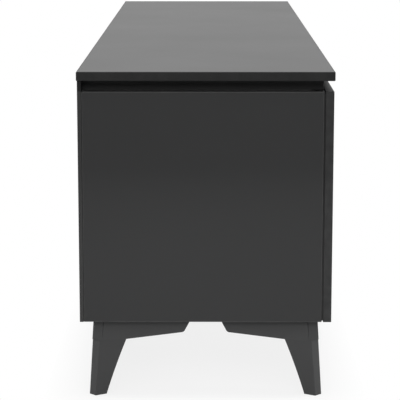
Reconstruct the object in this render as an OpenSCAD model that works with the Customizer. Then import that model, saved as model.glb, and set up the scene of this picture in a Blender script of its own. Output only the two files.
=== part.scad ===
// Long low dresser: a dark case on four corner legs, with a thin top floating
// over a shadow gap and drawers that are pulled by the upper edges of their fronts.
// The fronts face -Y, the length runs along X, and the feet stand on Z = 0.
// Local leg axes: u runs inward along the length, v inward along the depth.

/* [Case] */
// Length of the case over its two side panels
case_l = 1800; // [1500:10:2200]
// Depth over the back panel and the drawer fronts
case_d = 450; // [420:5:560]
// Height of the case from its underside to the shadow gap
case_h = 415; // [395:5:480]
// Thickness of the side panels, partitions, bottom and deck
board_t = 16; // [12:1:19]
// Thickness of the back panel
back_t = 7; // [3:1:10]
// Distance between the centres of the two partitions
middle_l = 600; // [500:10:720]

/* [Top] */
// Thickness of the top board
top_t = 16; // [12:1:25]
// How far the top board reaches past the fronts and the back panel
top_over = 1; // [0:0.5:10]
// How far the top board reaches past each end of the case
top_end_over = 8; // [0:0.5:30]
// Height of the shadow gap between the case and the top board
shadow_h = 19; // [12:1:30]
// Setback of the riser frame from the ends of the case
riser_inset = 28; // [20:1:60]
// Width of the riser rails
riser_w = 16; // [12:1:40]

/* [Fronts] */
// Thickness of the drawer fronts
front_t = 15; // [12:1:19]
// Air between the case edges and the backs of the fronts
front_gap = 2; // [1:0.5:4]
// Air between neighbouring fronts
reveal = 3; // [2:0.5:5]
// Height of the finger gaps between the stacked fronts
finger_h = 20; // [14:1:26]

/* [Grip channels] */
// Room for the fingertips behind the fronts
grip_d = 20; // [14:1:30]
// How far the channels reach past the edge of a front
grip_drop = 28; // [20:1:32]
// Sheet thickness of the channels
channel_t = 2; // [1:0.5:3]

/* [Legs] */
// Height of the legs
leg_h = 142; // [110:1:180]
// Setback of the legs from the faces of the case
leg_inset = 23; // [16:1:40]
// How far a foot leans outward from the top of its leg
leg_splay = 9; // [0:1:12]
// Length of each arm from the outer corner of the leg
arm_l = 176; // [140:1:190]
// Thickness of the arms
arm_t = 18; // [14:1:24]
// How far the sides of an arm lie behind the sides of its leg
arm_setback = 0.3; // [0.2:0.1:1]
// Height of an arm at its bend into the leg
arm_h = 37; // [30:1:48]
// Height of an arm at its free end
arm_end_h = 24; // [20:1:28]
// Slant of the free end of an arm
arm_slant = 13; // [0:1:20]
// Rounding of the free end of an arm
arm_r = 7; // [2:0.5:8]
// Width of the leg where the arm bends into it
leg_w = 59; // [48:1:70]
// Width of the foot past the setback line
foot_w = 22; // [18:1:28]
// How much further in the side of a foot lies at its inner edge
foot_turn = 11.5; // [6:0.5:13]
// Size of the cut corner under the arms
nose_top = 13.5; // [8:0.5:16]
// Size of the cut corner at the foot
nose_foot = 12; // [8:0.5:16]
// Hollow of the inner edge of a leg halfway down
leg_hollow = 1.3; // [0:0.1:3]

/* [Leg fittings] */
// Radius of the leg screw shanks
screw_r = 2.5; // [2:0.1:3]
// Radius of the leg screw heads
screw_head_r = 4.5; // [4:0.1:5]
// Height of the leg screw heads
screw_head_h = 3; // [2:0.5:4]
// Wood left between a screw head and the case
screw_seat = 14; // [10:1:16]
// Depth of the leg screws in the bottom board
screw_bite = 10; // [6:1:11]
// Distance of the outer leg screw from the slanted end of its arm
screw_end = 15; // [12:1:25]
// Distance between the two leg screws of an arm
screw_pitch = 45; // [30:1:55]
// Air around the leg screws
screw_clear = 0.25; // [0.1:0.05:0.5]
// Radius of the foot glides
glide_r = 8; // [6:0.5:9]
// Thickness of the foot glides under the foot
glide_h = 1; // [1:0.5:4]
// Radius of the glide stems
glide_stem_r = 3; // [2:0.5:4]
// Length of the glide stems
glide_stem_h = 14; // [8:1:25]
// Air around the glide stems and past the ends of stems and screws
stem_clear = 0.1; // [0.05:0.05:0.3]

/* [Drawer boxes] */
// Thickness of the drawer sides and backs
box_t = 12; // [9:1:15]
// Thickness of the drawer bottoms
base_t = 6; // [3:1:8]
// Height of the drawer bottoms above the lower edges of the sides
base_lift = 8; // [5:1:12]
// Depth of the drawer boxes behind their fronts
box_d = 390; // [340:5:400]
// Height of the boxes of the two deep drawers
deep_box_h = 300; // [200:5:320]
// Air between a box and the channels above and below it
box_clear = 4; // [3:1:6]
// Height of the drawer backs that is left off above
back_drop = 6; // [0:1:12]

/* [Runners] */
// Room for a runner between a drawer side and the case
runner_w = 13; // [12:0.5:15]
// Height of the runner bars on the case
bar_h = 15; // [10:1:18]
// Length of the runner bars
bar_l = 350; // [300:5:370]
// Setback of the runner bars from the front edge of the case
bar_setback = 6; // [2:1:15]
// Height of each guide strip on the drawer sides
strip_h = 9; // [6:1:12]
// Setback of the guide strips from the rear of the boxes
strip_setback = 18; // [5:1:30]
// Height of the runner bars above the lower edges of the boxes, to their middle
run_lift = 30; // [22:1:36]
// Running air above and below a runner bar
run_clear = 0.3; // [0.2:0.05:0.6]
// Side air of the bars and strips
side_clear = 1; // [0.5:0.25:2]

/* [Hidden] */
DEEP = "deep";

leg_z = leg_h;
case_z = leg_h + case_h;
top_z = case_z + shadow_h;
end_x = case_l / 2;
face_y = -case_d / 2;
front_back_y = face_y + front_t;
edge_y = front_back_y + front_gap;
grip_y = edge_y + grip_d;
deck_y = grip_y + channel_t;
back_y = case_d / 2 - back_t;
inner_x = end_x - board_t;
floor_z = leg_z + board_t;
deck_z = case_z - board_t;
part_x = middle_l / 2;
stack_h = (case_h - 2 * finger_h) / 3;
stack_box_h = stack_h - 2 * (grip_drop + box_clear);
bend_z = leg_h - arm_h;
arm_end_z = leg_h - arm_end_h;
screw_u = [for (i = [0, 1]) arm_l - arm_slant - screw_end - i * screw_pitch];
screw_v = arm_t / 2;
glide_u = (foot_w + foot_turn - leg_splay) / 4 + (nose_foot / 2 - leg_splay) / 2;
board_col = "#3b3c3e";
leg_col = "#424346";
inside_col = "#77797c";
metal_col = "silver";
sliver = 0.01;
$fn = 32;

// Each drawer's name, its level and its bay. The level is DEEP for the full-height drawers
// of the end bays, or counts from 0 at the bottom of the stack in the middle bay. The bay
// is -1 on the left, 0 in the middle and 1 on the right.
DRAWERS = [["left", DEEP, -1], ["right", DEEP, 1], ["top", 2, 0], ["middle", 1, 0],
           ["bottom", 0, 0]];
CASE_NODES = [
    "top_board", "riser_front", "riser_rear", "riser_ends", "riser_cross",
    "riser_blocks",
    "side_left", "side_right", "partition_left", "partition_right",
    "bottom_board", "deck_board", "back_panel",
    "grip_channel_top", "grip_channel_upper", "grip_channel_lower",
    "leg_front_left", "leg_front_right", "leg_rear_left", "leg_rear_right",
    "leg_screws", "foot_glides"
];
DRAWER_NODES = ["front", "side_a", "side_b", "back", "base", "strips", "bars"];

// A board between two corners
module board(low, high, col = board_col) {
    color(col) translate(low) cube(high - low);
}

// Copies at both ends of the length
module both_ends() {
    for (s = [0, 1]) mirror([s, 0, 0]) children();
}

// ---- Top and riser ----

module top_board() {
    board([-end_x - top_end_over, face_y - top_over, top_z],
          [end_x + top_end_over, case_d / 2 + top_over, top_z + top_t]);
}

module riser_front() {
    board([-end_x + riser_inset, grip_y, case_z],
          [end_x - riser_inset, grip_y + riser_w, top_z]);
}

module riser_rear() {
    board([-end_x + riser_inset, back_y - riser_w, case_z],
          [end_x - riser_inset, back_y, top_z]);
}

module riser_rail(x) {
    board([x, grip_y + riser_w, case_z], [x + riser_w, back_y - riser_w, top_z]);
}

module riser_ends() {
    both_ends() riser_rail(-end_x + riser_inset);
}

module riser_cross() {
    both_ends() riser_rail(-part_x - riser_w / 2);
}

// Blocks that close the ends of the grip gap and carry the front corners of the top
module riser_blocks() {
    both_ends() board([-end_x + riser_inset, edge_y, case_z],
                      [-end_x + riser_inset + riser_w, grip_y, top_z]);
}

// ---- Case ----

module side_panel() {
    board([-end_x, edge_y, leg_z], [-inner_x, back_y, case_z]);
}

// A partition, with its upper front corner cut out for the top channel
module partition() {
    color(inside_col) difference() {
        translate([-part_x - board_t / 2, edge_y, floor_z])
            cube([board_t, back_y - edge_y, deck_z - floor_z]);
        translate([-part_x - board_t, front_back_y, case_z - grip_drop])
            cube([2 * board_t, deck_y - front_back_y, grip_drop]);
    }
}

// The bottom board, with pilot holes for the leg screws
module bottom_board() {
    color(board_col) difference() {
        translate([-inner_x, edge_y, leg_z]) cube([2 * inner_x, back_y - edge_y, board_t]);
        at_leg_corners() at_leg_screws()
            cylinder(r = screw_r + stem_clear, h = leg_z + screw_bite + stem_clear);
    }
}

module deck_board() {
    board([-inner_x, deck_y, deck_z], [inner_x, back_y, case_z], inside_col);
}

module back_panel() {
    board([-end_x, back_y, leg_z], [end_x, case_d / 2, top_z]);
}

// ---- Grip channels ----

// A channel lip from the case edges back to the web
module channel_lip(x, z) {
    translate([-x, edge_y, z]) cube([2 * x, deck_y - edge_y, channel_t]);
}

module channel_web(x, low, high) {
    translate([-x, grip_y, low]) cube([2 * x, channel_t, high - low]);
}

// L profile behind the upper edges of all the fronts
module grip_channel_top() {
    color(board_col) {
        channel_lip(inner_x, case_z - grip_drop);
        channel_web(inner_x, case_z - grip_drop, case_z);
    }
}

// C profile behind the finger gap whose middle is at z
module grip_channel(z) {
    x = part_x - board_t / 2;
    reach = finger_h / 2 + grip_drop;
    color(board_col) {
        channel_lip(x, z - reach);
        channel_web(x, z - reach, z + reach);
        channel_lip(x, z + reach - channel_t);
    }
}

// ---- Legs ----

function mix(a, b, t) = a + (b - a) * t;

// Outward lean of the leg at height z
function lean(z) = -leg_splay * (1 - z / leg_h);

// Size of the cut corner at height z. The square corner of the arms covers it above the bend.
function nose(z) = mix(nose_foot, nose_top, z / bend_z);

// Position of the inner edge of the leg at height z
function edge(z) =
    let (t = min(1, z / bend_z))
    mix(foot_w, leg_w, t) - 4 * leg_hollow * t * (1 - t);

// Half of the leg's section at height z: the cut corner, one side and the middle
function half_section(z) =
    let (t = min(1, z / bend_z), o = lean(z), n = nose(z), w = edge(z),
         near = o + mix(foot_turn, 0, t), far = near + mix(0, arm_t, t),
         mid = mix((w + near) / 2, o + arm_t, t))
    [[o, o + n], [o + n, o], [w, near], [w, far], [mid, mid]];

module slice(z) {
    translate([0, 0, z]) linear_extrude(sliver) polygon(half_section(z));
}

// One half of the leg, from the glide to the case
module leg_half() {
    hull() { slice(glide_h); slice(bend_z / 2); }
    hull() { slice(bend_z / 2); slice(bend_z); }
    hull() { slice(bend_z); slice(leg_h - sliver); }
}

// Where an arm starts at height z: just inside the outer side of the arm that it meets
function arm_start(z) = lean(z) + arm_setback;

// Outline of an arm along its length, carried up past the case for its cut. The rounded
// corner is an arc between the rising lower edge and the slanted end.
function arm_outline() =
    let (cut_z = leg_h + arm_t, p = [arm_l - arm_slant, arm_end_z], q = [leg_w, bend_z],
         to_bend = (q - p) / norm(q - p),
         to_top = [arm_slant, arm_end_h] / norm([arm_slant, arm_end_h]),
         half = acos(to_bend * to_top) / 2,
         back = arm_r / tan(half),
         middle = p + (to_bend + to_top) / norm(to_bend + to_top) * arm_r / sin(half),
         first = p + to_bend * back - middle, last = p + to_top * back - middle,
         a0 = atan2(first[1], first[0]), a1 = atan2(last[1], last[0]))
    concat([[arm_start(cut_z), cut_z], [arm_start(bend_z), bend_z], q],
           [for (i = [0:6]) middle + arm_r * [cos(mix(a0, a1, i / 6)), sin(mix(a0, a1, i / 6))]],
           [[arm_l, leg_h], [arm_l, cut_z]]);

// An arm, leaning outward with its side of the leg and cut level under the case
module arm() {
    intersection() {
        translate([0, 0, leg_h]) rotate([-atan(leg_splay / leg_h), 0, 0])
            translate([0, arm_t - arm_setback, -leg_h]) rotate([90, 0, 0])
                linear_extrude(arm_t - 2 * arm_setback) polygon(arm_outline());
        translate([-arm_t, -arm_t, 0]) cube([arm_l + arm_t, 3 * arm_t, leg_h]);
    }
}

module mirror_diagonal() {
    children();
    mirror([1, -1, 0]) children();
}

// The screw places in the two arms of one leg
module at_leg_screws() {
    mirror_diagonal() for (u = screw_u) translate([u, screw_v, 0]) children();
}

// Puts children at the outer corner of a leg: a = 1 mirrors to the right, b = 1 to the rear
module at_corner(a, b) {
    mirror([a, 0, 0]) mirror([0, b, 0])
        translate([-end_x + leg_inset, face_y + leg_inset, 0]) children();
}

module at_leg_corners() {
    for (a = [0, 1], b = [0, 1]) at_corner(a, b) children();
}

module leg(a, b) {
    color(leg_col) at_corner(a, b) difference() {
        union() { mirror_diagonal() { leg_half(); arm(); } }
        at_leg_screws() {
            cylinder(r = screw_r + screw_clear, h = leg_h + screw_bite);
            cylinder(r = screw_head_r + screw_clear, h = leg_h - screw_seat);
        }
        translate([glide_u, glide_u, 0])
            cylinder(r = glide_stem_r + stem_clear, h = glide_h + glide_stem_h + stem_clear);
    }
}

module leg_screws() {
    color(metal_col) at_leg_corners() at_leg_screws() translate([0, 0, leg_h - screw_seat]) {
        translate([0, 0, -screw_head_h]) cylinder(r = screw_head_r, h = screw_head_h);
        cylinder(r = screw_r, h = screw_seat + screw_bite);
    }
}

module foot_glides() {
    color("dimgray") at_leg_corners() translate([glide_u, glide_u, 0]) {
        cylinder(r = glide_r, h = glide_h);
        cylinder(r = glide_stem_r, h = glide_h + glide_stem_h);
    }
}

// ---- Drawers ----

// Ends of the front along the length, for s = -1, 0 and 1
function front_x0(s) = s < 0 ? -end_x : s > 0 ? part_x + reveal / 2 : -part_x + reveal / 2;
function front_x1(s) = s < 0 ? -part_x - reveal / 2 : s > 0 ? end_x : part_x - reveal / 2;

// Clear ends of the bay along the length
function bay_x0(s) = s < 0 ? -inner_x : s > 0 ? part_x + board_t / 2 : -part_x + board_t / 2;
function bay_x1(s) = s < 0 ? -part_x - board_t / 2 : s > 0 ? inner_x : part_x - board_t / 2;

function front_z(level) = level == DEEP ? leg_z : leg_z + level * (stack_h + finger_h);
function front_h(level) = level == DEEP ? case_h : stack_h;
function box_z(level) = front_z(level) + grip_drop + box_clear;
function box_h(level) = level == DEEP ? deep_box_h : stack_box_h;
function box_x0(s) = bay_x0(s) + runner_w;
function box_x1(s) = bay_x1(s) - runner_w;
function run_z(level) = box_z(level) + run_lift;

module drawer_front(level, s) {
    board([front_x0(s), face_y, front_z(level)],
          [front_x1(s), front_back_y, front_z(level) + front_h(level)]);
}

module drawer_side_a(level, s) {
    board([box_x0(s), front_back_y, box_z(level)],
          [box_x0(s) + box_t, front_back_y + box_d, box_z(level) + box_h(level)], inside_col);
}

module drawer_side_b(level, s) {
    board([box_x1(s) - box_t, front_back_y, box_z(level)],
          [box_x1(s), front_back_y + box_d, box_z(level) + box_h(level)], inside_col);
}

module drawer_back(level, s) {
    board([box_x0(s) + box_t, front_back_y + box_d - box_t, box_z(level)],
          [box_x1(s) - box_t, front_back_y + box_d, box_z(level) + box_h(level) - back_drop],
          inside_col);
}

module drawer_base(level, s) {
    board([box_x0(s) + box_t, front_back_y, box_z(level) + base_lift],
          [box_x1(s) - box_t, front_back_y + box_d - box_t,
           box_z(level) + base_lift + base_t], inside_col);
}

// The guide strips above and below the runner bar, on both drawer sides
module drawer_strips(level, s) {
    w = runner_w - side_clear;
    off = bar_h / 2 + run_clear;
    for (x = [box_x0(s) - w, box_x1(s)], z = [-off - strip_h, off])
        board([x, edge_y, run_z(level) + z],
              [x + w, front_back_y + box_d - strip_setback, run_z(level) + z + strip_h], metal_col);
}

// The runner bars on the case, one on each side of the bay
module runner_bars(level, s) {
    w = runner_w - side_clear;
    for (x = [bay_x0(s), bay_x1(s) - w])
        board([x, edge_y + bar_setback, run_z(level) - bar_h / 2],
              [x + w, edge_y + bar_setback + bar_l, run_z(level) + bar_h / 2], metal_col);
}

top_board();
riser_front();
riser_rear();
riser_ends();
riser_cross();
riser_blocks();
side_panel();  // side_left
mirror([1, 0, 0]) side_panel();  // side_right
partition();  // partition_left
mirror([1, 0, 0]) partition();  // partition_right
bottom_board();
deck_board();
back_panel();
grip_channel_top();
grip_channel(front_z(2) - finger_h / 2);  // grip_channel_upper
grip_channel(front_z(1) - finger_h / 2);  // grip_channel_lower
leg(0, 0);  // leg_front_left
leg(1, 0);  // leg_front_right
leg(0, 1);  // leg_rear_left
leg(1, 1);  // leg_rear_right
leg_screws();
foot_glides();

for (d = DRAWERS) {
    drawer_front(d[1], d[2]);
    drawer_side_a(d[1], d[2]);
    drawer_side_b(d[1], d[2]);
    drawer_back(d[1], d[2]);
    drawer_base(d[1], d[2]);
    drawer_strips(d[1], d[2]);
    runner_bars(d[1], d[2]);
}
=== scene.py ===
"""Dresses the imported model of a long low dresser: eased and edge-banded boards, shaped legs,
fittings and finishes, on a pale floor under soft studio light.

All sizes are in metres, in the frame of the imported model: the length runs along X, the drawer
fronts face -Y and the feet stand on Z = 0.
"""

from __future__ import annotations

import logging
import math
from dataclasses import dataclass
from enum import Enum
from typing import Iterable, Sequence

import bmesh
import bpy
from mathutils import Matrix, Vector

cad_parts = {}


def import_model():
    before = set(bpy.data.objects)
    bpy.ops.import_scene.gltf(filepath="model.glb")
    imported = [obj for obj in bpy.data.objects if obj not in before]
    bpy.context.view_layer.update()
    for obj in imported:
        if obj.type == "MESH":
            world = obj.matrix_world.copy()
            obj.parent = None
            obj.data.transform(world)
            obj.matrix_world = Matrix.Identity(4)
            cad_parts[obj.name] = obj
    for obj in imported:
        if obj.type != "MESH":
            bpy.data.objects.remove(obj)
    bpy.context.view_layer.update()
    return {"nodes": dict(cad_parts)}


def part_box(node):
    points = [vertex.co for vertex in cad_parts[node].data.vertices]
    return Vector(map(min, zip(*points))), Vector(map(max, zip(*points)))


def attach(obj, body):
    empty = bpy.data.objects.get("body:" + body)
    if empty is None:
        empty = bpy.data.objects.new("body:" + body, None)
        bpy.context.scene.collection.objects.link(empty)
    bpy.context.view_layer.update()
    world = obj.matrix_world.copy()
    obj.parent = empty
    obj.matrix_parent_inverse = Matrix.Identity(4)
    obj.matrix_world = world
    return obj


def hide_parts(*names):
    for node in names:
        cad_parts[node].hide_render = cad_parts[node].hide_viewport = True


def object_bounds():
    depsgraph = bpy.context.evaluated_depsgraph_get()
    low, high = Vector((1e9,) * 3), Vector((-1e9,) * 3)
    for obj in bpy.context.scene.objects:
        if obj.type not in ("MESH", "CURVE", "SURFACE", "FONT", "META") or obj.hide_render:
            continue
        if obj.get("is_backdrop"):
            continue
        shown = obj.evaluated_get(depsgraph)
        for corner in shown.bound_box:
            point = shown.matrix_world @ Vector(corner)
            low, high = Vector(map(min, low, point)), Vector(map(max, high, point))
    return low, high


log = logging.getLogger("dresser")

MM = 0.001
# Points that are nearer to each other than this count as one.
TOUCH = MM / 100
# A point that is nearer to a cutting plane than this counts as on it.
ON_PLANE = MM / 1000
# The attribute that is 1 along the edges whose colour is lightened: partly wear, partly a painted
# highlight.
WEAR_AND_HIGHLIGHT = "wear_and_highlight"
# The edges of a node that are eased turn by more than this, in degrees.
SHARP = 40.0

Colour = tuple[float, float, float]
Point = tuple[float, float, float]
Span = tuple[float, float]
Socket = bpy.types.NodeSocket

WHITE = (1.0, 1.0, 1.0, 1.0)


class Drawer(Enum):
    """The five drawers, by the names of their nodes."""

    LEFT = "left"
    RIGHT = "right"
    TOP = "top"
    MIDDLE = "middle"
    BOTTOM = "bottom"

    @property
    def body(self) -> str:
        """The body that the drawer's pieces ride on."""
        return f"{self.value}_drawer"


# ---- Node groups ----


class Nodes:
    """Adds and links nodes in one node tree."""

    def __init__(self, tree: bpy.types.NodeTree) -> None:
        """Takes the tree of a material, a world or a group."""
        self.tree = tree

    def add(self, kind: str, inputs: dict | None = None, **settings: object) -> bpy.types.Node:
        """Adds a node.

        Args:
            kind: the node's type name without "ShaderNode".
            inputs: values for its sockets, by name or number; a socket is linked instead.
            settings: its other properties.

        Returns:
            The new node.
        """
        node = self.tree.nodes.new("ShaderNode" + kind)
        for name, value in settings.items():
            setattr(node, name, value)
        for key, value in (inputs or {}).items():
            if isinstance(value, Socket):
                self.tree.links.new(value, node.inputs[key])
            else:
                node.inputs[key].default_value = value
        return node

    def math(self, operation: str, first: object, second: object = 0.0) -> Socket:
        """Adds one Math node and returns its output."""
        return self.add("Math", {0: first, 1: second}, operation=operation).outputs[0]

    def vector_math(
        self, operation: str, first: object, second: object = (0.0, 0.0, 0.0)
    ) -> Socket:
        """Adds one Vector Math node and returns its vector."""
        return self.add("VectorMath", {0: first, 1: second}, operation=operation).outputs[0]

    def noise(self, place: Socket, size: object, detail: float, roughness: float = 0.5) -> Socket:
        """Adds one Noise node and returns its height, from 0 to 1."""
        inputs = {"Vector": place, "Scale": size, "Detail": detail, "Roughness": roughness}
        return self.add("TexNoise", inputs).outputs["Fac"]

    def ranged(self, value: Socket, source: Span = (0.0, 1.0), target: Span = (0.0, 1.0)) -> Socket:
        """Adds one Map Range node.

        Args:
            value: the value that comes in.
            source: its range.
            target: the range that it is laid out over, and held in.

        Returns:
            The new value.
        """
        inputs = {"Value": value}
        for way, (low, high) in (("From", source), ("To", target)):
            inputs |= {f"{way} Min": low, f"{way} Max": high}
        return self.add("MapRange", inputs).outputs[0]

    def mixed(self, share: object, first: Socket, second: object, blend: str = "MIX") -> Socket:
        """Adds one Mix node for colours.

        Args:
            share: how much of the second colour is mixed in.
            first: the first colour.
            second: the second colour.
            blend: the way they are mixed.

        Returns:
            The mixed colour.
        """
        inputs = {"Factor": share, "A": first, "B": second}
        mix = self.add("Mix", inputs, data_type="RGBA", blend_type=blend)
        return mix.outputs["Result"]

    def group(self, shared: SharedGroup, inputs: dict) -> bpy.types.NodeOutputs:
        """Places a shared group with its own values and returns its outputs."""
        return self.add("Group", inputs, node_tree=shared.tree()).outputs


class SharedGroup:
    """A shader node group that several finishes use, built once."""

    name = ""
    inputs: Sequence[tuple[str, str]] = ()
    outputs: Sequence[tuple[str, str]] = ()

    def tree(self) -> bpy.types.NodeTree:
        """Makes the group on the first call.

        Returns:
            The group.
        """
        found = bpy.data.node_groups.get(self.name)
        if found:
            return found
        tree = bpy.data.node_groups.new(self.name, "ShaderNodeTree")
        for way, sockets in (("INPUT", self.inputs), ("OUTPUT", self.outputs)):
            for name, kind in sockets:
                tree.interface.new_socket(name=name, in_out=way, socket_type="NodeSocket" + kind)
        kit = Nodes(tree)
        given = tree.nodes.new("NodeGroupInput").outputs
        result = tree.nodes.new("NodeGroupOutput").inputs
        for name, socket in self.fill(kit, given).items():
            tree.links.new(socket, result[name])
        return tree

    def fill(self, kit: Nodes, given: bpy.types.NodeOutputs) -> dict[str, Socket]:
        """Makes the inside of the group and returns the socket of each output."""
        raise NotImplementedError


class Drift(SharedGroup):
    """Slow changes of tone over a surface, and the mask that they come from."""

    name = "tone drift"
    inputs = (("Place", "Vector"), ("Colour", "Color"), ("Size", "Float"), ("Spread", "Float"))
    outputs = (("Colour", "Color"), ("Mask", "Float"))

    def fill(self, kit: Nodes, given: bpy.types.NodeOutputs) -> dict[str, Socket]:
        """A soft noise that moves the colour up and down by the spread.

        Args:
            kit: the node tree of the group.
            given: the group's inputs.

        Returns:
            The socket of each output.
        """
        mask = kit.noise(given["Place"], given["Size"], detail=3.0, roughness=0.55)
        centred = kit.math("SUBTRACT", mask, 0.5)
        gain = kit.math("ADD", kit.math("MULTIPLY", centred, given["Spread"]), 1.0)
        tone = kit.add("CombineColor", {"Red": gain, "Green": gain, "Blue": gain}).outputs[0]
        return {"Colour": kit.mixed(1.0, given["Colour"], tone, "MULTIPLY"), "Mask": mask}


class Skin(SharedGroup):
    """The fine pebbled skin of a sprayed or pressed surface, as a height."""

    name = "pebbled skin"
    inputs = (("Place", "Vector"), ("Size", "Float"), ("Waviness", "Float"))
    outputs = (("Height", "Float"),)
    slower = 0.04

    def fill(self, kit: Nodes, given: bpy.types.NodeOutputs) -> dict[str, Socket]:
        """Small pebbles, with a part of slower waves under them.

        Args:
            kit: the node tree of the group.
            given: the group's inputs.

        Returns:
            The socket of each output.
        """
        pebbles = kit.noise(given["Place"], given["Size"], detail=2.0, roughness=0.6)
        wide = kit.math("MULTIPLY", given["Size"], self.slower)
        waves = kit.noise(given["Place"], wide, detail=1.0)
        return {"Height": kit.math("ADD", pebbles, kit.math("MULTIPLY", waves, given["Waviness"]))}


class Pores(SharedGroup):
    """Long shallow pores that show through paint on wood, as a height."""

    name = "wood pores"
    inputs = (("Place", "Vector"), ("Size", "Float"))
    outputs = (("Height", "Float"),)
    deepest = (0.56, 0.7)

    def fill(self, kit: Nodes, given: bpy.types.NodeOutputs) -> dict[str, Socket]:
        """Noise drawn out along the grain, cut so that only its deepest parts stay."""
        noise = kit.noise(given["Place"], given["Size"], detail=4.0, roughness=0.65)
        return {"Height": kit.math("SUBTRACT", 1.0, kit.ranged(noise, self.deepest))}


class Linen(SharedGroup):
    """A fine linen weave pressed into a melamine face."""

    name = "pressed linen"
    inputs = (("Place", "Vector"), ("Size", "Float"))
    outputs = (("Height", "Float"),)
    unevenness = 1.2

    def fill(self, kit: Nodes, given: bpy.types.NodeOutputs) -> dict[str, Socket]:
        """Threads along X with threads across them, slightly uneven.

        Args:
            kit: the node tree of the group.
            given: the group's inputs.

        Returns:
            The socket of each output.
        """
        inputs = {"Vector": given["Place"], "Scale": given["Size"], "Detail": 1.0}
        inputs["Distortion"] = self.unevenness
        threads = [
            kit.add("TexWave", inputs, bands_direction=way).outputs["Fac"] for way in ("X", "Z")
        ]
        return {"Height": kit.math("MAXIMUM", *threads)}


class WearAndHighlight(SharedGroup):
    """Where edges are lightened: the piece's edge attribute, broken up by noise; partly wear,
    partly a painted highlight.
    """

    name = "worn and highlighted edges"
    inputs = (("Place", "Vector"), ("Amount", "Float"))
    outputs = (("Mask", "Float"),)
    patch_size = 60.0
    patch_edge = (0.35, 0.65)

    def fill(self, kit: Nodes, given: bpy.types.NodeOutputs) -> dict[str, Socket]:
        """The attribute times patches of noise times the amount.

        Args:
            kit: the node tree of the group.
            given: the group's inputs.

        Returns:
            The socket of each output.
        """
        edge = kit.add("Attribute", attribute_name=WEAR_AND_HIGHLIGHT, attribute_type="GEOMETRY").outputs["Fac"]
        noise = kit.noise(given["Place"], self.patch_size, detail=3.0)
        mask = kit.math("MULTIPLY", edge, kit.ranged(noise, self.patch_edge))
        return {"Mask": kit.math("MULTIPLY", mask, given["Amount"])}


# ---- Finishes ----


@dataclass(frozen=True)
class Finish:
    """A finish: its look, and the material that shows it."""

    name: str
    colour: Colour
    roughness: float
    spread: float = 0.06
    drift_size: float = 5.0
    sheen_spread: float = 0.08
    pebble_size: float = 900.0
    pebble_depth: float = 0.00003
    waviness: float = 0.5
    wear_and_highlight: float = 0.0
    wear_and_highlight_colour: Colour = (0.1, 0.1, 0.1)
    metallic: float = 0.0
    specular: float = 0.5
    stretch: Point = (1.0, 1.0, 1.0)

    def material(self) -> bpy.types.Material:
        """Makes the material on the first call.

        Returns:
            The material.
        """
        found = bpy.data.materials.get(self.name)
        if found:
            return found
        made = bpy.data.materials.new(self.name)
        made.use_nodes = True
        made.diffuse_color = (*self.colour, 1.0)
        kit = Nodes(made.node_tree)
        shader = made.node_tree.nodes["Principled BSDF"]
        shader.inputs["Metallic"].default_value = self.metallic
        shader.inputs["Specular IOR Level"].default_value = self.specular
        spot = kit.add("TexCoord").outputs["Object"]
        place = kit.add("Mapping", {"Vector": spot, "Scale": self.stretch}).outputs[0]
        drift = {"Place": place, "Colour": (*self.colour, 1.0)}
        drift |= {"Size": self.drift_size, "Spread": self.spread}
        colour, mask = kit.group(Drift(), drift)
        # Edges are mixed toward a lighter colour: partly wear, partly a painted highlight on the
        # eased arrises.
        if self.wear_and_highlight:
            wear_and_highlight_mask = kit.group(WearAndHighlight(), {"Place": spot, "Amount": self.wear_and_highlight})[0]
            colour = kit.mixed(wear_and_highlight_mask, colour, (*self.wear_and_highlight_colour, 1.0))
        kit.tree.links.new(self.tint_and_painted_shade(kit, spot, colour), shader.inputs["Base Color"])
        span = (self.roughness - self.sheen_spread, self.roughness + self.sheen_spread)
        kit.tree.links.new(kit.ranged(mask, target=span), shader.inputs["Roughness"])
        relief = {"Height": self.height(kit, place), "Distance": self.pebble_depth, "Strength": 1.0}
        kit.tree.links.new(kit.add("Bump", relief).outputs[0], shader.inputs["Normal"])
        self.extra(shader)
        return made

    def tint_and_painted_shade(self, kit: Nodes, spot: Socket, colour: Socket) -> Socket:
        """Returns the colour as it lies on the piece, with any painted shade; here as it is given.
        """
        return colour

    def height(self, kit: Nodes, place: Socket) -> Socket:
        """Returns the surface relief of the finish."""
        inputs = {"Place": place, "Size": self.pebble_size, "Waviness": self.waviness}
        return kit.group(Skin(), inputs)[0]

    def extra(self, shader: bpy.types.Node) -> None:
        """Sets what only some finishes have."""


@dataclass(frozen=True)
class PaintedWood(Finish):
    """Paint over solid wood, whose pores still show."""

    pore_size: float = 500.0
    pore_depth: float = 0.8
    grain: Point = (1.0, 1.0, 0.06)

    def height(self, kit: Nodes, place: Socket) -> Socket:
        """Pores under the skin of the paint.

        Args:
            kit: the node tree of the material.
            place: the place of the pattern.

        Returns:
            The height.
        """
        drawn = kit.add("Mapping", {"Vector": place, "Scale": self.grain}).outputs[0]
        pores = kit.group(Pores(), {"Place": drawn, "Size": self.pore_size})[0]
        depth = kit.math("MULTIPLY", pores, self.pore_depth)
        return kit.math("ADD", super().height(kit, place), depth)


@dataclass(frozen=True)
class EdgeBand(Finish):
    """A smooth plastic edge band."""

    spread: float = 0.05
    drift_size: float = 9.0
    sheen_spread: float = 0.03
    pebble_size: float = 700.0
    pebble_depth: float = 0.000015


@dataclass(frozen=True)
class LinenMelamine(Finish):
    """A melamine face with a pressed linen weave."""

    spread: float = 0.05
    drift_size: float = 6.0
    thread_size: float = 260.0

    def height(self, kit: Nodes, place: Socket) -> Socket:
        """The weave."""
        return kit.group(Linen(), {"Place": place, "Size": self.thread_size})[0]


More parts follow.
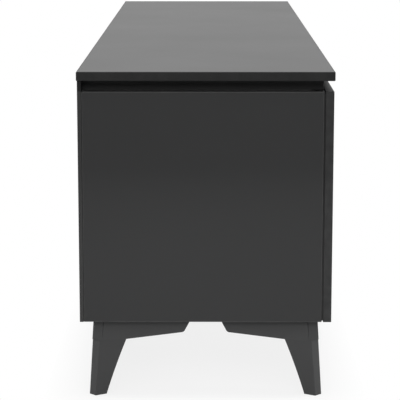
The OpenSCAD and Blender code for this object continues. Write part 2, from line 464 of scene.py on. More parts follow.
@dataclass(frozen=True)
class Brushed(Finish):
    """Plated steel, drawn along its length."""

    spread: float = 0.2
    sheen_spread: float = 0.1
    pebble_depth: float = 0.00001
    metallic: float = 1.0
    anisotropy: float = 0.4

    def extra(self, shader: bpy.types.Node) -> None:
        """The stretched highlight of the drawn lines."""
        shader.inputs["Anisotropic"].default_value = self.anisotropy


@dataclass(frozen=True)
class Nylon(Finish):
    """Moulded nylon, which lets a little light in."""

    scatter: float = 0.15
    scatter_depth: float = 2 * MM

    def extra(self, shader: bpy.types.Node) -> None:
        """Light that enters a short way."""
        shader.inputs["Subsurface Weight"].default_value = self.scatter
        shader.inputs["Subsurface Scale"].default_value = self.scatter_depth


@dataclass(frozen=True)
class BackPrintWithPaintedShade(Finish):
    """The print of the back panel, with painted shade: nearly black beside the shadow gap under the
    top, where shade falls.
    """

    shade: Colour = (0.012, 0.012, 0.012)

    def tint_and_painted_shade(self, kit: Nodes, spot: Socket, colour: Socket) -> Socket:
        """Paints shade on the band above the upper edges of the side panels.

        Args:
            kit: the node tree of the material.
            spot: the place on the piece.
            colour: the colour of the print.

        Returns:
            The colour with the band of painted shade.
        """
        level = kit.add("SeparateXYZ", {"Vector": spot}).outputs["Z"]
        # Above the side panels the print turns nearly black: painted shade beside the shadow gap.
        above = kit.math("GREATER_THAN", level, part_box("side_left")[1].z)
        return kit.mixed(above, colour, (*self.shade, 1.0))


def grey(value: float, warmth: float = 0.0) -> Colour:
    """A grey of that value; a warmth above 0 turns it slightly from blue to red."""
    return (value * (1 + warmth), value, value * (1 - warmth))


CASE_FACE = Finish(
    "case lacquer", grey(0.031, -0.01), 0.5, spread=0.08, drift_size=4.0, pebble_size=1100.0,
    pebble_depth=0.00002, wear_and_highlight=0.25, wear_and_highlight_colour=grey(0.06), specular=0.2,
)
CASE_EDGE = EdgeBand(
    "case edge band", grey(0.022, -0.01), 0.42, wear_and_highlight=0.3, wear_and_highlight_colour=grey(0.06), specular=0.4
)
FRONT_EDGE = EdgeBand(
    "front edge band", grey(0.024, -0.01), 0.5, wear_and_highlight=0.3, wear_and_highlight_colour=grey(0.06), specular=0.2
)
TOP_EDGE = EdgeBand(
    "top edge band", grey(0.01, -0.01), 0.5, wear_and_highlight=0.2, wear_and_highlight_colour=grey(0.035), specular=0.2
)
RISER_FACE = Finish(
    "riser lacquer", grey(0.042, -0.01), 0.75, drift_size=6.0, sheen_spread=0.03, specular=0.1
)
BUFFER_FOAM = Finish(
    "buffer foam", grey(0.045), 0.9, spread=0.1, drift_size=30.0, sheen_spread=0.02,
    pebble_size=1800.0, pebble_depth=0.0001, specular=0.1,
)
TOP_FACE = Finish(
    "top lacquer", grey(0.031, -0.01), 0.42, spread=0.12, drift_size=3.0, sheen_spread=0.04,
    pebble_size=1100.0, pebble_depth=0.00002, wear_and_highlight=0.2, wear_and_highlight_colour=grey(0.06), specular=0.4,
)
LEG_PAINT = PaintedWood(
    "leg lacquer", grey(0.045, -0.01), 0.45, spread=0.1, drift_size=14.0, pebble_size=800.0,
    wear_and_highlight=0.25, wear_and_highlight_colour=grey(0.07), specular=0.25,
)
# The back panel's print, with painted shade in the band beside the shadow gap.
BACK_PRINT_AND_PAINTED_SHADE = BackPrintWithPaintedShade(
    "back panel print and painted shade", grey(0.043), 0.62, spread=0.12, drift_size=6.0, pebble_size=500.0,
    specular=0.15,
)
INNER_FACE = LinenMelamine("inner melamine", grey(0.075), 0.55)
DRAWER_FACE = LinenMelamine("drawer melamine", grey(0.17), 0.5, pebble_depth=0.00004)
CHANNEL_COAT = Finish(
    "channel powder coat", grey(0.024), 0.6, spread=0.08, drift_size=12.0, pebble_size=1400.0,
    pebble_depth=0.00005, waviness=0.3, specular=0.4,
)
RUNNER_ZINC = Brushed(
    "runner zinc", grey(0.58, -0.01), 0.32, drift_size=30.0, pebble_size=300.0,
    stretch=(1.0, 0.04, 1.0),
)
SCREW_ZINC = Brushed("screw zinc", grey(0.55, -0.01), 0.3, drift_size=160.0)
STRIP_NYLON = Nylon("strip nylon", grey(0.5, 0.03), 0.45, spread=0.05, pebble_size=600.0)
GLIDE_PLASTIC = Finish("glide plastic", grey(0.03), 0.5)


# ---- Shapes ----


def verts_of(geometry: Iterable[object]) -> list[bmesh.types.BMVert]:
    """The vertices among what an operator returns."""
    return [item for item in geometry if isinstance(item, bmesh.types.BMVert)]


def edges_of(geometry: Iterable[object]) -> list[bmesh.types.BMEdge]:
    """The edges among what an operator returns."""
    return [item for item in geometry if isinstance(item, bmesh.types.BMEdge)]


def all_of(mesh: bmesh.types.BMesh) -> list[object]:
    """Every vertex, edge and face of a mesh."""
    return mesh.verts[:] + mesh.edges[:] + mesh.faces[:]


def linked_object(name: str, mesh: bmesh.types.BMesh) -> bpy.types.Object:
    """Makes an object of a mesh and links it to the scene.

    Args:
        name: the object's name.
        mesh: its mesh, which is freed.

    Returns:
        The object.
    """
    data = bpy.data.meshes.new(name)
    mesh.to_mesh(data)
    mesh.free()
    made = bpy.data.objects.new(name, data)
    bpy.context.scene.collection.objects.link(made)
    return made


def finish_piece(
    name: str,
    mesh: bmesh.types.BMesh,
    finishes: Sequence[Finish],
    body: str,
    replaced: Iterable[str] = (),
    smooth: bool = True,
) -> None:
    """Makes an object of a mesh in its place, and ties it to its body.

    Args:
        name: the piece's name.
        mesh: the mesh in its place, which is freed.
        finishes: the finishes of its material slots.
        body: the body that it rides on.
        replaced: the nodes that it stands for.
        smooth: whether its faces are shaded smooth, with flat large faces.
    """
    piece = linked_object(name, mesh)
    data = piece.data
    for finish in finishes:
        data.materials.append(finish.material())
    if smooth:
        data.polygons.foreach_set("use_smooth", [True] * len(data.polygons))
        piece.modifiers.new("face normals", "WEIGHTED_NORMAL").keep_sharp = True
    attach(piece, body)
    if replaced:
        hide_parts(*replaced)
    log.info("%s: %d faces, on %s", name, len(data.polygons), body)


def ease_node(node: bpy.types.Object, finish: Finish, ease: float) -> None:
    """Gives a carried-over board or profile its finish and its eased edges.

    Args:
        node: the object of the node.
        finish: its finish.
        ease: the width of the eased edges.
    """
    node.data.materials.clear()
    node.data.materials.append(finish.material())
    node.modifiers.new("weld", "WELD").merge_threshold = TOUCH
    bevel = node.modifiers.new("eased edges", "BEVEL")
    bevel.width = ease
    bevel.segments = 2
    bevel.limit_method = "ANGLE"
    bevel.angle_limit = math.radians(SHARP)
    log.info("%s: eased by %.1f mm, in %s", node.name, ease / MM, finish.name)


def solid_box(low: Vector, high: Vector) -> bmesh.types.BMesh:
    """A closed box between two corners.

    Args:
        low: its lowest corner.
        high: its highest corner.

    Returns:
        The mesh.
    """
    mesh = bmesh.new()
    bmesh.ops.create_cube(mesh, size=1.0)
    bmesh.ops.scale(mesh, vec=high - low, verts=mesh.verts)
    bmesh.ops.translate(mesh, vec=(low + high) / 2, verts=mesh.verts)
    return mesh


def round_edges(mesh: bmesh.types.BMesh, edges: list[bmesh.types.BMEdge], width: float) -> None:
    """Rounds edges of a mesh.

    Args:
        mesh: the mesh.
        edges: the edges that are rounded.
        width: how far the rounding reaches over each face.
    """
    bmesh.ops.bevel(
        mesh, geom=edges, offset=width, segments=3, profile=0.5, affect="EDGES", material=-1,
        clamp_overlap=True,
    )


@dataclass(frozen=True)
class Banding:
    """How a board is finished: eased edges, and edge bands that meet its faces in a fine joint.

    The joint is as deep as it is wide.
    """

    ease: float
    band: float
    joint: float = 0.12 * MM

    def board(self, low: Vector, high: Vector) -> bmesh.types.BMesh:
        """A finished board.

        Args:
            low: its lowest corner.
            high: its highest corner.

        Returns:
            The mesh, with material 0 on the two faces and 1 on the edge bands.
        """
        mesh = solid_box(low, high)
        # Band vertices are marked for the lighter edge colour: partly wear, partly a painted
        # highlight.
        wear_and_highlight = mesh.verts.layers.float.new(WEAR_AND_HIGHLIGHT)
        round_edges(mesh, mesh.edges[:], self.ease)
        for vert in mesh.verts:
            vert[wear_and_highlight] = 1.0
        for face in mesh.faces:
            face.material_index = 1
        sides = sorted(mesh.faces, key=lambda face: face.calc_area())[-2:]
        slope = self.joint / 2
        rings = (self.band - self.ease, 0.0), (slope, -self.joint), (slope, self.joint)
        for side in sides:
            for thickness, depth in rings:
                bmesh.ops.inset_region(mesh, faces=[side], thickness=thickness, depth=depth)
            side.material_index = 0
            for vert in side.verts:
                vert[wear_and_highlight] = 0.0
        return mesh


@dataclass(frozen=True)
class ScrewHead:
    """A low screw head with a six-sided socket.

    The socket's size is the radius of its corners. The rim is the share of the height that
    lies under the dome, and the dome is the share of the width that its flat top has.
    """

    radius: float
    height: float
    socket: float
    depth: float
    rim: float = 0.55
    dome: float = 0.82

    def mesh(self) -> bmesh.types.BMesh:
        """Makes the head, standing on the origin along +Z.

        Returns:
            The closed mesh.
        """
        mesh = bmesh.new()
        outer = bmesh.ops.create_circle(
            mesh, cap_ends=False, radius=self.radius, segments=24
        )["verts"]
        ring = list({edge for vert in outer for edge in vert.link_edges})
        rim = bmesh.ops.extrude_edge_only(mesh, edges=ring)["geom"]
        bmesh.ops.translate(mesh, vec=(0, 0, self.height * self.rim), verts=verts_of(rim))
        top = bmesh.ops.extrude_edge_only(mesh, edges=edges_of(rim))["geom"]
        bmesh.ops.scale(mesh, vec=(self.dome, self.dome, 1.0), verts=verts_of(top))
        bmesh.ops.translate(mesh, vec=(0, 0, self.height * (1 - self.rim)), verts=verts_of(top))
        inner = bmesh.ops.create_circle(
            mesh, cap_ends=False, radius=self.socket, segments=6
        )["verts"]
        bmesh.ops.translate(mesh, vec=(0, 0, self.height), verts=inner)
        hole = list({edge for vert in inner for edge in vert.link_edges})
        bmesh.ops.bridge_loops(mesh, edges=edges_of(top) + hole)
        wall = bmesh.ops.extrude_edge_only(mesh, edges=hole)["geom"]
        bmesh.ops.translate(mesh, vec=(0, 0, -self.depth), verts=verts_of(wall))
        bmesh.ops.contextual_create(mesh, geom=verts_of(wall))
        bmesh.ops.contextual_create(mesh, geom=outer)
        bmesh.ops.recalc_face_normals(mesh, faces=mesh.faces)
        return mesh


BACK_SCREW = ScrewHead(3.2 * MM, 0.8 * MM, 1.4 * MM, 0.5 * MM)
LEG_SCREW = ScrewHead(4.5 * MM, 3 * MM, 2.2 * MM, 1.8 * MM)
RAIL_SCREW = ScrewHead(3 * MM, 0.5 * MM, 1.3 * MM, 0.35 * MM)


def facing(direction: Vector, spot: Vector) -> Matrix:
    """The placement that turns +Z to a direction and moves the origin to a spot."""
    turn = direction.to_track_quat("Z", "Y").to_matrix().to_4x4()
    return Matrix.Translation(spot) @ turn


def join_copies(source: bmesh.types.BMesh, places: Iterable[Matrix]) -> bmesh.types.BMesh:
    """Copies a mesh to several placements.

    Args:
        source: the mesh, which is freed.
        places: the placements.

    Returns:
        One mesh of all the copies.
    """
    data = bpy.data.meshes.new("copy")
    source.to_mesh(data)
    source.free()
    joined = bmesh.new()
    for place in places:
        before = set(joined.verts)
        joined.from_mesh(data)
        fresh = [vert for vert in joined.verts if vert not in before]
        bmesh.ops.transform(joined, matrix=place, verts=fresh)
    bpy.data.meshes.remove(data)
    bmesh.ops.recalc_face_normals(joined, faces=joined.faces)
    return joined


# ---- Sub-assemblies ----


@dataclass
class Case:
    """The case with its top, riser frame and grip channels."""

    nodes: dict[str, bpy.types.Object]
    banding: Banding = Banding(ease=1.6 * MM, band=2.0 * MM)
    inner_ease: float = 0.4 * MM
    channel_ease: float = 0.6 * MM
    back_screw_pitch: float = 220 * MM
    back_screw_edge: float = 12 * MM
    buffer_inset: float = 1.0 * MM
    buffer_width: float = 9 * MM
    buffer_gap: float = 0.3 * MM
    buffer_end: float = 3 * MM
    buffer_crown: float = 0.4
    banded: Sequence[tuple[str, Finish, Finish]] = (
        ("top_board", TOP_FACE, TOP_EDGE),
        ("side_left", CASE_FACE, CASE_EDGE),
        ("side_right", CASE_FACE, CASE_EDGE),
    )

    def build(self) -> None:
        """Builds and dresses every piece of the case."""
        for name, face, edge in self.banded:
            mesh = self.banding.board(*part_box(name))
            finish_piece(f"finished_{name}", mesh, (face, edge), "case", [name])
        ease_node(self.nodes["bottom_board"], CASE_FACE, self.inner_ease)
        ease_node(self.nodes["back_panel"], BACK_PRINT_AND_PAINTED_SHADE, self.inner_ease)
        for name in ("riser_front", "riser_rear", "riser_ends", "riser_cross", "riser_blocks"):
            ease_node(self.nodes[name], RISER_FACE, self.inner_ease)
        for name in ("partition_left", "partition_right", "deck_board"):
            ease_node(self.nodes[name], INNER_FACE, self.inner_ease)
        for name in ("grip_channel_top", "grip_channel_upper", "grip_channel_lower"):
            ease_node(self.nodes[name], CHANNEL_COAT, self.channel_ease)
        self.back_screws()
        self.buffers()

    def buffers(self) -> None:
        """The soft strips on the side panels' front edges, which the outer fronts close against."""
        for side, front, way in (("side_left", "left_front", 1), ("side_right", "right_front", -1)):
            low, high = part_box(side)
            start = (low.x if way > 0 else high.x) + way * self.buffer_inset
            near, far = sorted((start, start + way * self.buffer_width))
            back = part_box(front)[1].y + self.buffer_gap
            mesh = solid_box(
                Vector((near, back, low.z + self.buffer_end)),
                Vector((far, low.y, high.z - self.buffer_end)),
            )
            depth = low.y - back
            middle = back + depth / 2
            crown = [edge for edge in mesh.edges if all(vert.co.y < middle for vert in edge.verts)]
            round_edges(mesh, crown, self.buffer_crown * depth)
            finish_piece(f"{side}_buffer", mesh, (BUFFER_FOAM,), "case")

    def back_screws(self) -> None:
        """The low screws that hold the back panel to the boards behind its edges."""
        low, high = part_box("back_panel")
        span = high.x - low.x - 2 * self.back_screw_edge
        count = round(span / self.back_screw_pitch)
        below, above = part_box("bottom_board"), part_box("deck_board")
        rows = (low.z + below[1].z) / 2, (above[0].z + above[1].z) / 2
        places = []
        for row in rows:
            for index in range(count + 1):
                x = low.x + self.back_screw_edge + span * index / count
                places.append(facing(Vector((0, 1, 0)), Vector((x, high.y, row))))
        mesh = join_copies(BACK_SCREW.mesh(), places)
        finish_piece("back_panel_screws", mesh, (SCREW_ZINC,), "case", smooth=False)


@dataclass
class Leg:
    """A corner leg: a tapering, twisted foot under two arms that meet in a square corner.

    Its own axes u and v start at the outer corner of the arms and run inward, along the
    length and along the depth of the case. Angles are in degrees.
    """

    inset: float = 23 * MM
    height: float = 142 * MM
    splay: float = 9 * MM
    arm_length: float = 176 * MM
    arm_thickness: float = 18 * MM
    arm_height: float = 37 * MM
    end_height: float = 24 * MM
    end_slant: float = 13 * MM
    end_radius: float = 7 * MM
    shoulder: float = 59 * MM
    foot: float = 22 * MM
    foot_turn: float = 11.5 * MM
    hollow: float = 1.3 * MM
    nose_top: float = 13.5 * MM
    nose_foot: float = 12 * MM
    nose_stop: float = 3.5 * MM
    nose_ease: float = 4.5 * MM
    nose_edge: float = 2 * MM
    edge_rest: float = 0.5 * MM
    ease: float = 1.3 * MM
    flat_angle: float = 0.3
    eased_angle: float = 20.0
    stations: int = 8
    glide_height: float = 1 * MM
    glide_radius: float = 8 * MM
    glide_rim: float = 0.4 * MM
    screw_seat: float = 14 * MM
    screw_clear: float = 0.25 * MM
    screw_pitch: float = 45 * MM
    screw_end: float = 15 * MM
    groove: float = 0.9 * MM
    groove_depth: float = 4 * MM
    groove_low: float = 0.4

    @property
    def bend(self) -> float:
        """The height of the bend between the foot and the arms."""
        return self.height - self.arm_height

    @property
    def screw_spots(self) -> list[tuple[float, float]]:
        """The screw places of one leg.

        Returns:
            Each screw's u and v.
        """
        first = self.arm_length - self.end_slant - self.screw_end
        along = [first, first - self.screw_pitch]
        middle = self.arm_thickness / 2
        return [(u, middle) for u in along] + [(middle, u) for u in along]

    @property
    def glide_spot(self) -> float:
        """The place of the glide on the diagonal, midway across the foot."""
        inner = (self.foot + self.foot_turn - self.splay) / 4
        return inner + (self.nose_foot / 2 - self.splay) / 2

    def lean(self, z: float) -> float:
        """The outward lean of the leg at a height."""
        return -self.splay * (1 - z / self.height)

    def section(self, z: float, nose_z: float) -> list[Vector]:
        """Half of the leg's section below the bend.

        Args:
            z: its height.
            nose_z: the height of its two points at the cut corner.

        Returns:
            The point of the cut corner on the diagonal, its end, the outer and the inner
            point of the edge under the arm, and the inner point on the diagonal.
        """
        share = z / self.bend
        out, nose_out = self.lean(z), self.lean(nose_z)
        nose = self.nose_foot + (self.nose_top - self.nose_foot) * nose_z / self.bend
        width = self.foot + (self.shoulder - self.foot) * share
        # The inner edge is hollow, and deepest halfway up.
        width -= self.hollow * 4 * share * (1 - share)
        near = out + self.foot_turn * (1 - share)
        far = near + self.arm_thickness * share + self.edge_rest * (1 - share)
        inner = (width + near) / 2 * (1 - share) + (out + self.arm_thickness) * share
        return [
            Vector((nose_out + nose / 2, nose_out + nose / 2, nose_z)),
            Vector((nose_out + nose, nose_out, nose_z)),
            Vector((width, near, z)),
            Vector((width, far, z)),
            Vector((inner, inner, z)),
        ]

    def arm(self) -> bmesh.types.BMesh:
        """One arm from the diagonal to its rounded and slanted end.

        Returns:
            The mesh, open where it meets the other arm.
        """
        mesh = bmesh.new()
        outline = [
            (self.lean(self.bend), self.bend),
            (self.shoulder, self.bend),
            (self.arm_length - self.end_slant, self.height - self.end_height),
            (self.arm_length, self.height),
            (0.0, self.height),
        ]
        verts = [mesh.verts.new((u, self.lean(z), z)) for u, z in outline]
        mesh.faces.new(verts)
        below, above = verts[1].co - verts[2].co, verts[3].co - verts[2].co
        back = self.end_radius / math.tan(below.angle(above) / 2)
        bmesh.ops.bevel(
            mesh, geom=[verts[2]], offset=back, segments=7, profile=0.5, affect="VERTICES",
            material=-1,
        )
        side = bmesh.ops.extrude_face_region(mesh, geom=mesh.faces[:], use_keep_orig=True)["geom"]
        bmesh.ops.translate(mesh, vec=(0, self.arm_thickness, 0), verts=verts_of(side))
        bmesh.ops.bisect_plane(
            mesh, geom=all_of(mesh), dist=ON_PLANE, plane_co=(0, 0, 0), plane_no=(-1, 1, 0),
            clear_outer=True,
        )
        return mesh

    def at_bend(self, mesh: bmesh.types.BMesh) -> list[bmesh.types.BMFace]:
        """Finds the faces that lie flat at the height of the bend.

        Args:
            mesh: the arm's mesh.

        Returns:
            The faces.
        """
        return [
            face for face in mesh.faces
            if all(abs(vert.co.z - self.bend) < TOUCH for vert in face.verts)
        ]

    def foot_from_arm(self, mesh: bmesh.types.BMesh) -> None:
        """Draws the foot down from the underside of the arm at the bend.

        Args:
            mesh: the arm's mesh.
        """
        current = self.section(self.bend, self.bend)
        under = self.at_bend(mesh)
        edges = list({edge for face in under for edge in face.edges})
        bmesh.ops.bisect_plane(
            mesh, geom=under + edges, dist=ON_PLANE, plane_co=current[1], plane_no=(1, 1, 0)
        )
        centre = sum(current, Vector()) / len(current)
        face = min(
            self.at_bend(mesh), key=lambda item: (item.calc_center_median() - centre).length
        )
        target = self.section(self.bend, self.bend - self.nose_stop)
        self.place(face.verts, current, target)
        for index in range(self.stations):
            share = (index + 1) / self.stations
            level = self.bend + (self.glide_height - self.bend) * share
            current, target = target, self.section(level, level)
            face = bmesh.ops.extrude_discrete_faces(mesh, faces=[face])["faces"][0]
            self.place(face.verts, current, target)

    def place(
        self,
        verts: Iterable[bmesh.types.BMVert],
        current: Sequence[Vector],
        target: Sequence[Vector],
    ) -> None:
        """Moves the vertices of a section to the next one.

        Args:
            verts: the section's vertices.
            current: their places now.
            target: the places they go to, in the same order.
        """
        for vert in verts:
            _, vert.co = min(zip(current, target), key=lambda pair: (pair[0] - vert.co).length)

    def blank(self) -> bmesh.types.BMesh:
        """The whole leg before its edges are eased and its holes are bored.

        Returns:
            A closed mesh, whose edges carry bevel weights: 1 along the cut corner.
        """
        mesh = self.arm()
        self.foot_from_arm(mesh)
        diagonal = [
            face for face in mesh.faces
            if all(abs(vert.co.x - vert.co.y) < TOUCH for vert in face.verts)
        ]
        bmesh.ops.delete(mesh, geom=diagonal, context="FACES")
        copied = bmesh.ops.duplicate(mesh, geom=all_of(mesh))["geom"]
        swap = Matrix(((0, 1, 0, 0), (1, 0, 0, 0), (0, 0, 1, 0), (0, 0, 0, 1)))
        bmesh.ops.transform(mesh, matrix=swap, verts=verts_of(copied))
        bmesh.ops.remove_doubles(mesh, verts=mesh.verts, dist=TOUCH)
        bmesh.ops.recalc_face_normals(mesh, faces=mesh.faces)
        bmesh.ops.dissolve_limit(
            mesh, angle_limit=math.radians(self.flat_angle), verts=mesh.verts, edges=mesh.edges,
            use_dissolve_boundaries=False,
        )
        weight = mesh.edges.layers.float.new("bevel_weight_edge")
        sharp = math.radians(self.eased_angle)
        for edge in mesh.edges:
            if len(edge.link_faces) == 2 and edge.calc_face_angle() > sharp:
                edge[weight] = 1.0 if self.on_nose(edge) else self.ease / self.nose_ease
        return mesh

    def on_nose(self, edge: bmesh.types.BMEdge) -> bool:
        """Tells whether an edge runs along a side of the cut corner.

        Args:
            edge: an edge of the leg.

        Returns:
            True if it does.
        """
        low, high = sorted((vert.co for vert in edge.verts), key=lambda co: co.z)
        top = self.bend - self.nose_stop + TOUCH
        if high.z > top or high.z - low.z < self.nose_edge:
            return False
        return all(min(co.x, co.y) - self.lean(co.z) < TOUCH for co in (low, high))

    def cutters(self) -> bmesh.types.BMesh:
        """What is cut out of a leg: the bores of the screws and the joint of the end arm.

        Returns:
            A mesh of closed shapes.
        """
        mesh = bmesh.new()
        depth = self.height - self.screw_seat
        radius = LEG_SCREW.radius + self.screw_clear
        for u, v in self.screw_spots:
            bmesh.ops.create_cone(
                mesh, cap_ends=True, segments=32, radius1=radius, radius2=radius, depth=depth,
                matrix=Matrix.Translation((u, v, depth / 2)),
            )
        loops = []
        for z, share in ((self.bend + MM, self.groove_low), (self.height + MM, 1.0)):
            u, v = self.lean(z), self.lean(z) + self.arm_thickness
            half = self.groove / 2 * share
            outer, inner = u - MM, u + self.groove_depth
            ring = (outer, v - half), (outer, v + half), (inner, v + half), (inner, v - half)
            loops.append(mesh.faces.new([mesh.verts.new((*spot, z)) for spot in ring]))
        bmesh.ops.bridge_loops(mesh, edges=[edge for face in loops for edge in face.edges])
        bmesh.ops.recalc_face_normals(mesh, faces=mesh.faces)
        return mesh

    def finished(self) -> bpy.types.Mesh:
        """Eases the edges of the leg, bores it and grooves it.

        Returns:
            The mesh, in the leg's own axes.
        """
        body = linked_object("leg blank", self.blank())
        tool = linked_object("leg cutters", self.cutters())
        bevel = body.modifiers.new("eased edges", "BEVEL")
        bevel.width = self.nose_ease
        bevel.segments = 4
        bevel.limit_method = "WEIGHT"
        bevel.offset_type = "OFFSET"
        bevel.miter_outer = "MITER_ARC"
        cut = body.modifiers.new("bores", "BOOLEAN")
        cut.operation = "DIFFERENCE"
        cut.solver = "EXACT"
        cut.object = tool
        graph = bpy.context.evaluated_depsgraph_get()
        made = bpy.data.meshes.new_from_object(body.evaluated_get(graph))
        for item in (body, tool):
            data = item.data
            bpy.data.objects.remove(item)
            bpy.data.meshes.remove(data)
        return made

    def at_corners(self) -> list[tuple[str, Matrix]]:
        """Places the four legs under the case.

        Returns:
            The name and the placement of each.
        """
        low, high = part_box("side_left")[0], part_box("side_right")[1]
        front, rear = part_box("left_front")[0].y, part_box("back_panel")[1].y
        spots = []
        for end, x, across in (("left", low.x, 1), ("right", high.x, -1)):
            for row, y, deep in (("front", front, 1), ("rear", rear, -1)):
                shift = Matrix.Translation((x + across * self.inset, y + deep * self.inset, 0))
                spots.append((f"leg_{row}_{end}", shift @ Matrix.Diagonal((across, deep, 1, 1))))
        return spots

    def build(self) -> None:
        """Builds the four legs with their screws and glides."""
        leg = self.finished()
        for name, place in self.at_corners():
            mesh = bmesh.new()
            mesh.from_mesh(leg)
            bmesh.ops.transform(mesh, matrix=place, verts=mesh.verts)
            bmesh.ops.recalc_face_normals(mesh, faces=mesh.faces)
            finish_piece(f"shaped_{name}", mesh, (LEG_PAINT,), "case", [name])
        bpy.data.meshes.remove(leg)
        self.screws()
        self.glides()

    def screws(self) -> None:
        """The sixteen screws that hold the arms up against the case."""
        seat = self.height - self.screw_seat
        down = Vector((0, 0, -1))
        places = [
            facing(down, corner @ Vector((u, v, seat)))
            for _, corner in self.at_corners() for u, v in self.screw_spots
        ]
        finish_piece(
            "shaped_leg_screws", join_copies(LEG_SCREW.mesh(), places), (SCREW_ZINC,), "case",
            ["leg_screws"], smooth=False,
        )

    def glides(self) -> None:
        """The glides under the feet, with rounded rims."""
        mesh = bmesh.new()
        radius, rim = self.glide_radius, self.glide_rim
        profile = [(0.0, 0.0), (radius - rim, 0.0), (radius, rim)]
        profile += [(radius, self.glide_height), (0.0, self.glide_height)]
        verts = [mesh.verts.new((r, 0, z)) for r, z in profile]
        edges = [mesh.edges.new(pair) for pair in zip(verts, verts[1:])]
        bmesh.ops.spin(
            mesh, geom=verts + edges, cent=(0, 0, 0), axis=(0, 0, 1), angle=math.tau, steps=40,
            use_merge=True, dvec=(0, 0, 0),
        )
        bmesh.ops.remove_doubles(mesh, verts=mesh.verts, dist=TOUCH)
        bmesh.ops.recalc_face_normals(mesh, faces=mesh.faces)
        spot = Vector((self.glide_spot, self.glide_spot, 0))
        places = [Matrix.Translation(corner @ spot) for _, corner in self.at_corners()]
        finish_piece(
            "shaped_foot_glides", join_copies(mesh, places), (GLIDE_PLASTIC,), "case",
            ["foot_glides"], smooth=False,
        )


@dataclass
class DrawerPieces:
    """One drawer: its front, its box, its guide strips, and its runner bars on the case."""

    drawer: Drawer
    nodes: dict[str, bpy.types.Object]
    banding: Banding = Banding(ease=1.0 * MM, band=1.4 * MM)
    box_ease: float = 0.6 * MM
    screws_a_rail: int = 3

    def build(self) -> None:
        """Builds and dresses every piece of the drawer."""
        name, body = self.drawer.value, self.drawer.body
        front = f"{name}_front"
        mesh = self.banding.board(*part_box(front))
        finish_piece(
            f"finished_{front}", mesh, (CASE_FACE, FRONT_EDGE), body, [front]
        )
        for part in ("side_a", "side_b", "back", "base"):
            ease_node(self.nodes[f"{name}_{part}"], DRAWER_FACE, self.box_ease)
        ease_node(self.nodes[f"{name}_strips"], STRIP_NYLON, self.box_ease)
        ease_node(self.nodes[f"{name}_bars"], RUNNER_ZINC, self.box_ease)
        self.screws(f"{name}_bars", "case", 1)
        self.screws(f"{name}_strips", body, 2)

    def screws(self, node: str, body: str, rows: int) -> None:
        """The low screws in the bars or the strips.

        Args:
            node: the node that they hold.
            body: the body that they ride on.
            rows: how many rails the node has above each other.
        """
        low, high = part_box(node)
        half = self.rail_size(node, "z") / 2
        width = self.rail_size(node, "x")
        # The bars show their inner sides, and the strips their outer ones.
        if body == "case":
            ends = (low.x + width, 1), (high.x - width, -1)
        else:
            ends = (low.x, -1), (high.x, 1)
        pitch = (high.y - low.y) / self.screws_a_rail
        places = []
        for x, way in ends:
            for level in (low.z + half, high.z - half)[:rows]:
                for index in range(self.screws_a_rail):
                    spot = Vector((x, low.y + (index + 0.5) * pitch, level))
                    places.append(facing(Vector((way, 0, 0)), spot))
        mesh = join_copies(RAIL_SCREW.mesh(), places)
        finish_piece(f"{node}_screws", mesh, (SCREW_ZINC,), body, smooth=False)

    def rail_size(self, node: str, axis: str) -> float:
        """Measures one rail of a node.

        Args:
            node: the node of the bars or the strips.
            axis: the axis to measure along, x or z.

        Returns:
            The rail's size.
        """
        vertices = self.nodes[node].data.vertices
        places = sorted({round(getattr(vert.co, axis), 5) for vert in vertices})
        return places[1] - places[0]


# ---- Stage, light and camera ----


@dataclass(frozen=True)
class Softbox:
    """One softbox, which lights the scene and isn't seen itself.

    Its spot and the point that it faces count from the middle of the floor under the dresser,
    or with from_end from the floor under its left end. Its size is its width and height, its
    power is in watts, and in_gloss tells whether glossy surfaces show it.
    """

    name: str
    spot: Point
    aim: Point
    size: Span
    power: float
    in_gloss: bool = True
    from_end: bool = False

    def hang(self) -> None:
        """Adds the lamp."""
        start = Vector((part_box("side_left")[0].x if self.from_end else 0.0, 0.0, 0.0))
        spot, aim = start + Vector(self.spot), start + Vector(self.aim)
        data = bpy.data.lights.new(self.name, "AREA")
        data.shape = "RECTANGLE"
        data.size, data.size_y = self.size
        data.energy = self.power
        lamp = bpy.data.objects.new(self.name, data)
        lamp.location = spot
        lamp.rotation_mode = "QUATERNION"
        lamp.rotation_quaternion = (aim - spot).to_track_quat("-Z", "Y")
        lamp.visible_camera = False
        lamp.visible_glossy = self.in_gloss
        bpy.context.scene.collection.objects.link(lamp)


# The middle of the dresser, which the far lamps face.
MIDDLE = (0.0, 0.0, 0.3)
SOFTBOXES = (
    Softbox("overhead box", (-0.8, 0.0, 5.0), MIDDLE, (4.0, 4.0), 85.0),
    Softbox("front box", (-0.4, -3.2, 0.9), MIDDLE, (2.0, 1.4), 64.0, in_gloss=False),
    Softbox("rear box", (-0.4, 3.2, 0.9), MIDDLE, (2.0, 1.4), 33.0, in_gloss=False),
    Softbox("left box", (-3.7, 0.0, 2.1), (0.0, 0.0, 0.0), (2.6, 0.8), 40.0, from_end=True),
    Softbox("right box", (4.6, 0.0, 1.6), MIDDLE, (2.6, 1.0), 30.0, in_gloss=False),
    Softbox("floor box", (-0.4, 0.0, 0.42), (-0.4, 0.0, -0.58), (0.45, 1.2), 2.1, from_end=True),
)


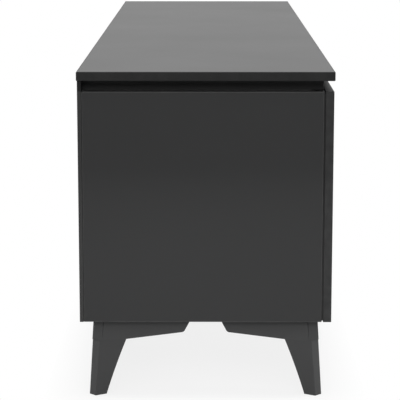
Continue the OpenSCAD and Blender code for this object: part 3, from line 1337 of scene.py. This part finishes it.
@dataclass
class Studio:
    """A pale floor, soft light and the camera. Angles are in degrees, the lens in millimetres."""

    floor_radius: float = 9.0
    floor_tone: float = 0.85
    floor_glow: float = 0.82
    shadow_reach: float = 0.1
    shadow_margin: float = 0.03
    surround: float = 0.1
    camera_ahead: float = 2.962
    camera_height: float = 0.9137
    camera_aside: float = -0.0039
    camera_pitch: float = 10.507
    camera_yaw: float = 0.2665
    lens: float = 153.5
    sensor: float = 36.0
    clip: Span = (0.05, 100.0)

    def build(self) -> None:
        """Builds the floor, the world, the lights and the camera."""
        self.floor()
        self.world()
        for box in SOFTBOXES:
            box.hang()
        self.camera()
        bpy.context.scene.view_settings.view_transform = "Standard"

    def floor(self) -> None:
        """A round floor that the camera sees white, with the dresser's shadow on it."""
        low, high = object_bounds()
        mesh = bmesh.new()
        bmesh.ops.create_circle(mesh, cap_ends=True, radius=self.floor_radius, segments=96)
        plane = linked_object("floor", mesh)
        paint = bpy.data.materials.new("floor white")
        paint.use_nodes = True
        kit = Nodes(paint.node_tree)
        kit.tree.nodes.clear()
        lit = kit.add("BsdfDiffuse", {"Color": (*grey(self.floor_tone), 1.0)})
        glow = kit.add("Emission", {"Color": WHITE, "Strength": 1.0})
        away = self.away(kit, (high - low) / 2)
        glow_share = kit.ranged(away, (0.0, self.shadow_reach), (self.floor_glow, 1.0))
        share = kit.math("MULTIPLY", self.seen(kit), glow_share)
        above = kit.add("MixShader", {0: share, 1: lit.outputs[0], 2: glow.outputs[0]})
        below = kit.add("BsdfTransparent")
        behind = kit.add("NewGeometry").outputs["Backfacing"]
        both = kit.add("MixShader", {0: behind, 1: above.outputs[0], 2: below.outputs[0]})
        kit.add("OutputMaterial", {"Surface": both.outputs[0]})
        plane.data.materials.append(paint)
        plane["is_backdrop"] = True

    def away(self, kit: Nodes, half: Vector) -> Socket:
        """How far a point of the floor lies outside the dresser's rectangle, less its margin.

        Args:
            kit: the node tree of the floor.
            half: half the size of the dresser.

        Returns:
            The distance, 0 under the dresser.
        """
        place = kit.add("TexCoord").outputs["Object"]
        edge = half - Vector((self.shadow_margin, self.shadow_margin, 0.0))
        past = kit.vector_math("SUBTRACT", kit.vector_math("ABSOLUTE", place), edge)
        outside = kit.vector_math("MAXIMUM", past)
        return kit.add("VectorMath", {0: outside}, operation="LENGTH").outputs["Value"]

    def seen(self, kit: Nodes) -> Socket:
        """Tells rays that show the surroundings from those that light the scene.

        Args:
            kit: the node tree of the floor or the world.

        Returns:
            1 on rays from the camera and on those in gloss or glass, 0 on the others.
        """
        path = kit.add("LightPath").outputs
        shown = kit.math("MAXIMUM", path["Is Camera Ray"], path["Is Glossy Ray"])
        return kit.math("MAXIMUM", shown, path["Is Transmission Ray"])

    def world(self) -> None:
        """White for the camera and in reflections, and an even grey as light."""
        world = bpy.data.worlds.new("studio")
        bpy.context.scene.world = world
        world.use_nodes = True
        kit = Nodes(world.node_tree)
        kit.tree.nodes.clear()
        strength = kit.ranged(self.seen(kit), target=(self.surround, 1.0))
        back = kit.add("Background", {"Color": WHITE, "Strength": strength})
        kit.add("OutputWorld", {"Surface": back.outputs[0]})

    def camera(self) -> None:
        """Looks along the length from in front of the left end, slightly down."""
        data = bpy.data.cameras.new("camera")
        data.lens = self.lens
        data.sensor_width = self.sensor
        data.clip_start, data.clip_end = self.clip
        camera = bpy.data.objects.new("camera", data)
        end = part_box("side_left")[0].x
        camera.location = (end - self.camera_ahead, self.camera_aside, self.camera_height)
        camera.rotation_mode = "XYZ"
        camera.rotation_euler = (
            math.radians(90 - self.camera_pitch), 0.0, math.radians(-90 + self.camera_yaw)
        )
        bpy.context.scene.collection.objects.link(camera)
        bpy.context.scene.camera = camera


def main() -> None:
    """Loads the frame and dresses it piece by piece."""
    logging.basicConfig(level=logging.INFO, format="%(name)s: %(message)s")
    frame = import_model()
    nodes = frame["nodes"]
    Studio().build()
    Case(nodes).build()
    Leg().build()
    for drawer in Drawer:
        DrawerPieces(drawer, nodes).build()


if __name__ == "__main__":
    main()
